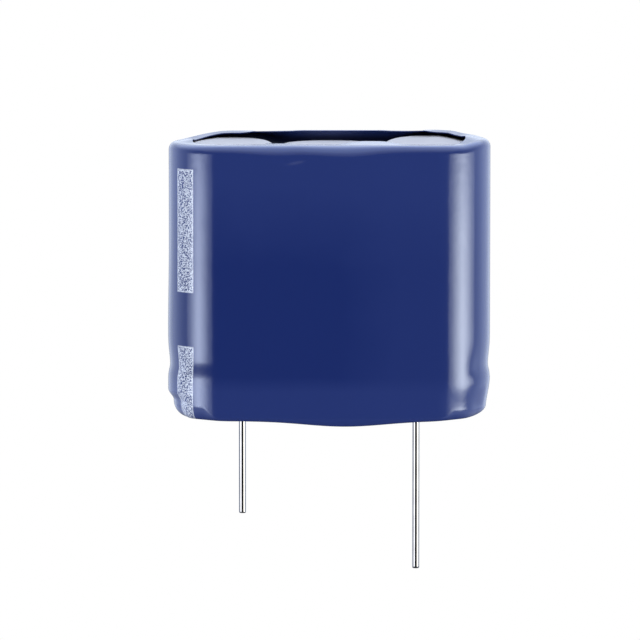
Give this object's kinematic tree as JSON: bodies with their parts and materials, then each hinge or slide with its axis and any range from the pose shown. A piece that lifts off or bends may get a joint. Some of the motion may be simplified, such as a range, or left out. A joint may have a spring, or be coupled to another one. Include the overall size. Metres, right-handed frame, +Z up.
{
  "type": "supercapacitor module",
  "caption": "Flat oval supercapacitor module: a row of round aluminium cells in a blue shrink sleeve, wired in series, with straight leads below.",
  "frame": {"origin": "midway between the two leads, on the plane of the sleeve's lower rim", "axes": "+Z up the cells, away from the leads; +X along the row towards the positive lead; +Y across the row"},
  "size_m": [0.0246, 0.0084, 0.0333],
  "materials": {
    "film": "deep blue shrunk film, glossy",
    "can": "satin drawn aluminium",
    "seal": "matt black rubber",
    "boss": "bare aluminium",
    "lead": "bright tinned wire",
    "solder": "satin solder"
  },
  "bodies": {
    "root": {"shrink_sleeve": "film", "can_left": "can", "bung_left": "seal", "negative_boss_left": "boss", "positive_boss_left": "boss", "can_middle": "can", "bung_middle": "seal", "negative_boss_middle": "boss", "positive_boss_middle": "boss", "can_right": "can", "bung_right": "seal", "negative_boss_right": "boss", "positive_boss_right": "boss", "negative_lead": "lead", "positive_lead": "lead", "left_link_lead": "lead", "right_link_lead": "lead", "middle_negative_stub": "lead", "middle_positive_stub": "lead", "left_solder_joint": "solder", "right_solder_joint": "solder"}
  },
  "joints": []
}
